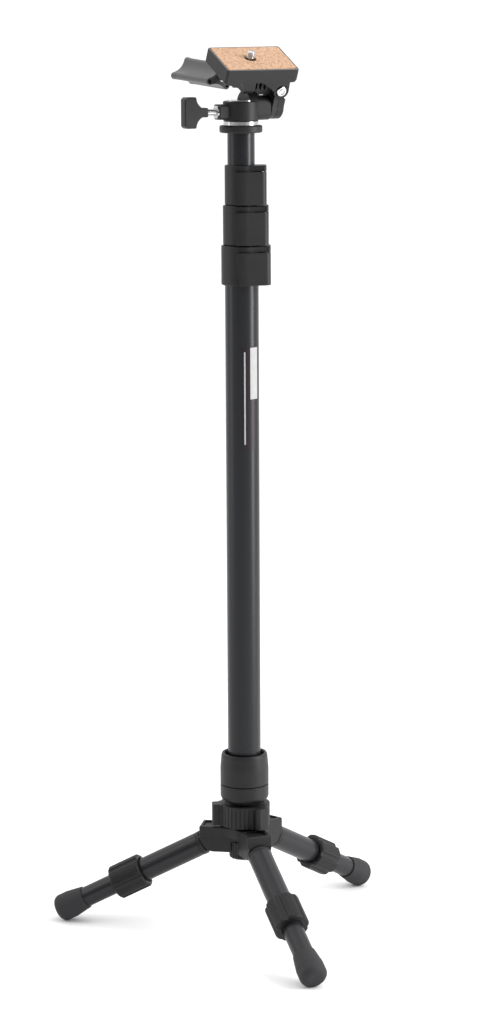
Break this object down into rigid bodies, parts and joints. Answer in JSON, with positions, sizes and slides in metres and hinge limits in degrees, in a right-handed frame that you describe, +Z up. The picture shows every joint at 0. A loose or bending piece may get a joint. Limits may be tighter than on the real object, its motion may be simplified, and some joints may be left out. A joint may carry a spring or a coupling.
{
  "type": "camera monopod with folding base",
  "caption": "Free-standing camera monopod: telescoping pole with flip locks, folding leg base with twist locks, and a pan and tilt head with a cork platform.",
  "frame": {"origin": "on the pole's axis, on the floor the feet stand on", "axes": "+Z up along the pole, +Y to the back, +X to the right as the object is seen from its front"},
  "size_m": [0.2802, 0.2926, 0.7524],
  "materials": {
    "tube_dark": "smooth dark anodised aluminium",
    "plastic_dark": "fine-grained dark grey moulding",
    "plastic_light": "satin grey moulding",
    "nut_plastic": "dark grey moulding with serrated lobes",
    "foot_rubber": "dull moulded rubber",
    "steel_bright": "bright machined steel",
    "pin_dark": "blackened steel pin",
    "cork": "fine cork granules",
    "label_dark": "dark film panel, no print"
  },
  "bodies": {
    "base": {"hub_body": "plastic_dark", "centre_stud": "steel_bright", "leg_hinge_pins": "pin_dark"},
    "thumb_wheel": {"hub_thumb_nut": "plastic_dark", "hub_thumb_nut_plate": "steel_bright"},
    "base_lock": {"base_lock_knob": "plastic_dark"},
    "pole": {"pole_socket_ring": "plastic_dark", "pole_socket_sleeve": "plastic_dark", "pole_tube_1": "tube_dark", "pole_label": "label_dark", "lock_collar_1": "plastic_dark", "lock_lever_pin_1": "steel_bright", "lock_clamp_screw_1": "steel_bright"},
    "section_2": {"pole_tube_2": "tube_dark", "lock_collar_2": "plastic_dark", "lock_lever_pin_2": "steel_bright", "lock_clamp_screw_2": "steel_bright"},
    "section_3": {"pole_tube_3": "tube_dark", "lock_collar_3": "plastic_dark", "lock_lever_pin_3": "steel_bright", "lock_clamp_screw_3": "steel_bright"},
    "section_4": {"pole_tube_4": "tube_dark", "head_flange": "plastic_dark", "pan_base_ring": "steel_bright"},
    "lever_1": {"lock_lever_1": "plastic_dark"},
    "lever_2": {"lock_lever_2": "plastic_dark"},
    "lever_3": {"lock_lever_3": "plastic_dark"},
    "pan_head": {"pan_housing": "plastic_dark", "tilt_drum": "plastic_dark", "pan_top_disc": "steel_bright", "pan_lock_washer": "steel_bright", "tilt_axle": "steel_bright", "tilt_washer": "steel_bright"},
    "pan_lock": {"pan_lock_screw": "steel_bright", "pan_lock_knob": "plastic_dark"},
    "tilt_head": {"tilt_yoke": "plastic_dark", "tilt_cheek": "plastic_light"},
    "handle": {"handle_rod": "steel_bright", "handle_grip": "plastic_light"},
    "platform_plate": {"platform": "plastic_dark", "cork_pad": "cork", "flip_hinge_bolt": "steel_bright"},
    "camera_screw_set": {"camera_screw": "steel_bright", "camera_screw_knob": "plastic_dark"},
    "leg_1": {"leg_fitting_1": "plastic_dark", "upper_leg_tube_1": "tube_dark"},
    "leg_nut_1": {"leg_twist_nut_1": "nut_plastic"},
    "leg_foot_1": {"lower_leg_tube_1": "tube_dark", "leg_foot_1": "foot_rubber"},
    "leg_2": {"leg_fitting_2": "plastic_dark", "upper_leg_tube_2": "tube_dark"},
    "leg_nut_2": {"leg_twist_nut_2": "nut_plastic"},
    "leg_foot_2": {"lower_leg_tube_2": "tube_dark", "leg_foot_2": "foot_rubber"},
    "leg_3": {"leg_fitting_3": "plastic_dark", "upper_leg_tube_3": "tube_dark"},
    "leg_nut_3": {"leg_twist_nut_3": "nut_plastic"},
    "leg_foot_3": {"lower_leg_tube_3": "tube_dark", "leg_foot_3": "foot_rubber"}
  },
  "joints": [
    {"name": "pole_swivel", "type": "hinge", "parent": "base", "child": "pole", "pos_m": [0, 0, 0.118], "axis": [0, 0, 1], "continuous": true},
    {"name": "base_lock_turn", "type": "hinge", "parent": "base", "child": "base_lock", "pos_m": [0, 0, 0.102], "axis": [0, 0, 1], "range_deg": [0, 60]},
    {"name": "thumb_wheel_turn", "type": "hinge", "parent": "base", "child": "thumb_wheel", "pos_m": [0, 0, 0.07], "axis": [0, 0, 1], "continuous": true},
    {"name": "leg_fold_1", "type": "hinge", "parent": "base", "child": "leg_1", "pos_m": [0.01639, 0.01953, 0.08168], "axis": [-0.766, 0.6428, 0], "range_deg": [0, 62]},
    {"name": "leg_nut_turn_1", "type": "hinge", "parent": "leg_1", "child": "leg_nut_1", "pos_m": [0.06479, 0.07721, 0.04223], "axis": [0.5694, 0.6786, -0.4641], "range_deg": [0, 90]},
    {"name": "leg_extend_1", "type": "slide", "parent": "leg_1", "child": "leg_foot_1", "axis": [0.5694, 0.6786, -0.4641], "range_m": [0, 0.04]},
    {"name": "leg_fold_2", "type": "hinge", "parent": "base", "child": "leg_2", "pos_m": [-0.02511, 0.00443, 0.08168], "axis": [-0.1736, -0.9848, 0], "range_deg": [0, 62]},
    {"name": "leg_nut_turn_2", "type": "hinge", "parent": "leg_2", "child": "leg_nut_2", "pos_m": [-0.09926, 0.0175, 0.04223], "axis": [-0.8723, 0.1538, -0.4641], "range_deg": [0, 90]},
    {"name": "leg_extend_2", "type": "slide", "parent": "leg_2", "child": "leg_foot_2", "axis": [-0.8723, 0.1538, -0.4641], "range_m": [0, 0.04]},
    {"name": "leg_fold_3", "type": "hinge", "parent": "base", "child": "leg_3", "pos_m": [0.00872, -0.02396, 0.08168], "axis": [0.9397, 0.342, 0], "range_deg": [0, 62]},
    {"name": "leg_nut_turn_3", "type": "hinge", "parent": "leg_3", "child": "leg_nut_3", "pos_m": [0.03447, -0.09471, 0.04223], "axis": [0.303, -0.8324, -0.4641], "range_deg": [0, 90]},
    {"name": "leg_extend_3", "type": "slide", "parent": "leg_3", "child": "leg_foot_3", "axis": [0.303, -0.8324, -0.4641], "range_m": [0, 0.04]},
    {"name": "section_slide_2", "type": "slide", "parent": "pole", "child": "section_2", "axis": [0, 0, 1], "range_m": [0, 0.37]},
    {"name": "lever_flip_1", "type": "hinge", "parent": "pole", "child": "lever_1", "pos_m": [0.0204, -0.0064, 0.57], "axis": [0, 0, 1], "range_deg": [0, 110]},
    {"name": "section_slide_3", "type": "slide", "parent": "section_2", "child": "section_3", "axis": [0, 0, 1], "range_m": [0, 0.37]},
    {"name": "lever_flip_2", "type": "hinge", "parent": "section_2", "child": "lever_2", "pos_m": [0.0188, -0.0064, 0.603], "axis": [0, 0, 1], "range_deg": [0, 110]},
    {"name": "section_slide_4", "type": "slide", "parent": "section_3", "child": "section_4", "axis": [0, 0, 1], "range_m": [0, 0.37]},
    {"name": "lever_flip_3", "type": "hinge", "parent": "section_3", "child": "lever_3", "pos_m": [0.0172, -0.0064, 0.636], "axis": [0, 0, 1], "range_deg": [0, 110]},
    {"name": "pan", "type": "hinge", "parent": "section_4", "child": "pan_head", "pos_m": [0, 0, 0.7], "axis": [0, 0, 1], "continuous": true},
    {"name": "pan_lock_turn", "type": "hinge", "parent": "pan_head", "child": "pan_lock", "pos_m": [-0.01782, -0.00908, 0.7002], "axis": [-0.891, -0.454, 0], "range_deg": [-90, 0]},
    {"name": "tilt", "type": "hinge", "parent": "pan_head", "child": "tilt_head", "pos_m": [0, 0, 0.704], "axis": [0.891, 0.454, 0], "range_deg": [-55, 60]},
    {"name": "handle_twist", "type": "hinge", "parent": "tilt_head", "child": "handle", "pos_m": [-0.01725, 0.03387, 0.72599], "axis": [-0.4536, 0.8902, 0.0436], "continuous": true},
    {"name": "platform_flip", "type": "hinge", "parent": "tilt_head", "child": "platform_plate", "pos_m": [0.02941, 0.00593, 0.72054], "axis": [-0.408, 0.8008, 0.4384], "range_deg": [0, 90]},
    {"name": "camera_screw_turn", "type": "hinge", "parent": "platform_plate", "child": "camera_screw_set", "pos_m": [0.00727, -0.01647, 0.74085], "axis": [0.199, -0.3906, 0.8988], "continuous": true}
  ]
}
